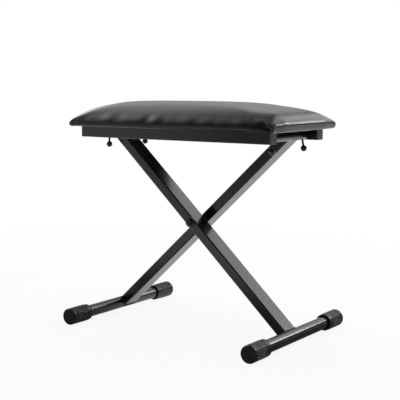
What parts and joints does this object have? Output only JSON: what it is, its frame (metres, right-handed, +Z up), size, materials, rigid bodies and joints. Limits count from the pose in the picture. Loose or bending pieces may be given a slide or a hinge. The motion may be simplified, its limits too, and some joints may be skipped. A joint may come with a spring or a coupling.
{
  "type": "keyboard bench",
  "caption": "Folding padded bench: a vinyl cushion on square rails, crossed rectangular legs on a pivot bolt, round feet with fluted rubber caps and spring pins with ball levers.",
  "frame": {"origin": "on the floor, under the middle of the overall length and depth", "axes": "+X to the right along the seat, -Y to the front, +Z up"},
  "size_m": [0.5574, 0.398, 0.5145],
  "materials": {
    "cover_vinyl": "smooth black vinyl, satin gloss",
    "foam": "open-cell foam",
    "plywood": "raw plywood",
    "dust_cloth": "thin black non-woven",
    "frame_black": "black powder coat, semi-gloss",
    "dark_steel": "black oxide steel",
    "bright_steel": "zinc-plated steel",
    "black_plastic": "moulded black nylon",
    "ball_plastic": "polished black phenolic",
    "cap_rubber": "matt black rubber"
  },
  "bodies": {
    "front_leg": {"front_leg_tube": "frame_black", "front_leg_sleeve": "bright_steel", "right_foot_tube": "frame_black", "left_top_bar": "frame_black", "left_spring_stop": "bright_steel", "pivot_bolt": "dark_steel", "pivot_front_washer": "dark_steel", "pivot_rear_washer": "dark_steel", "pivot_lock_nut": "dark_steel", "pivot_spacer": "black_plastic", "left_front_bush": "black_plastic", "left_front_spring": "bright_steel", "left_rear_bush": "black_plastic", "left_rear_spring": "bright_steel", "right_foot_front_cap": "cap_rubber", "right_foot_rear_cap": "cap_rubber"},
    "rear_leg": {"rear_leg_tube": "frame_black", "rear_leg_sleeve": "bright_steel", "left_foot_tube": "frame_black", "right_top_bar": "frame_black", "right_spring_stop": "bright_steel", "left_foot_front_cap": "cap_rubber", "left_foot_rear_cap": "cap_rubber", "right_front_bush": "black_plastic", "right_front_spring": "bright_steel", "right_rear_bush": "black_plastic", "right_rear_spring": "bright_steel"},
    "seat": {"seat_cover": "cover_vinyl", "seat_foam": "foam", "seat_board": "plywood", "tee_nuts": "bright_steel", "rail_screws": "bright_steel", "dust_cover": "dust_cloth", "cover_staples": "bright_steel", "front_rail": "frame_black", "rear_rail": "frame_black", "front_rail_left_plug": "black_plastic", "rear_rail_left_plug": "black_plastic", "front_rail_right_plug": "black_plastic", "rear_rail_right_plug": "black_plastic"},
    "left_front_lock": {"left_front_pin": "bright_steel", "left_front_lever": "dark_steel", "left_front_ball": "ball_plastic"},
    "left_rear_lock": {"left_rear_pin": "bright_steel", "left_rear_lever": "dark_steel", "left_rear_ball": "ball_plastic"},
    "right_front_lock": {"right_front_pin": "bright_steel", "right_front_lever": "dark_steel", "right_front_ball": "ball_plastic"},
    "right_rear_lock": {"right_rear_pin": "bright_steel", "right_rear_lever": "dark_steel", "right_rear_ball": "ball_plastic"}
  },
  "joints": [
    {"name": "leg_fold", "type": "hinge", "parent": "front_leg", "child": "rear_leg", "pos_m": [0.00728, 0, 0.2467], "axis": [0, -1, 0], "range_deg": [0, 86]},
    {"name": "seat_tilt", "type": "hinge", "parent": "front_leg", "child": "seat", "pos_m": [-0.21172, 0, 0.44148], "axis": [0, -1, 0], "range_deg": [0, 43.5]},
    {"name": "left_front_squeeze", "type": "slide", "parent": "front_leg", "child": "left_front_lock", "axis": [0, 1, 0], "range_m": [0, 0.016], "stiffness_N_per_m": 300, "springref_m": -0.012, "deforming": ["left_front_spring"]},
    {"name": "left_rear_squeeze", "type": "slide", "parent": "front_leg", "child": "left_rear_lock", "axis": [0, -1, 0], "range_m": [0, 0.016], "stiffness_N_per_m": 300, "springref_m": -0.012, "deforming": ["left_rear_spring"]},
    {"name": "right_front_squeeze", "type": "slide", "parent": "rear_leg", "child": "right_front_lock", "axis": [0, 1, 0], "range_m": [0, 0.016], "stiffness_N_per_m": 300, "springref_m": -0.012, "deforming": ["right_front_spring"]},
    {"name": "right_rear_squeeze", "type": "slide", "parent": "rear_leg", "child": "right_rear_lock", "axis": [0, -1, 0], "range_m": [0, 0.016], "stiffness_N_per_m": 300, "springref_m": -0.012, "deforming": ["right_rear_spring"]}
  ],
  "couplings": [
    {"joint": "seat_tilt", "follows": "leg_fold", "ratio": 0.5}
  ]
}
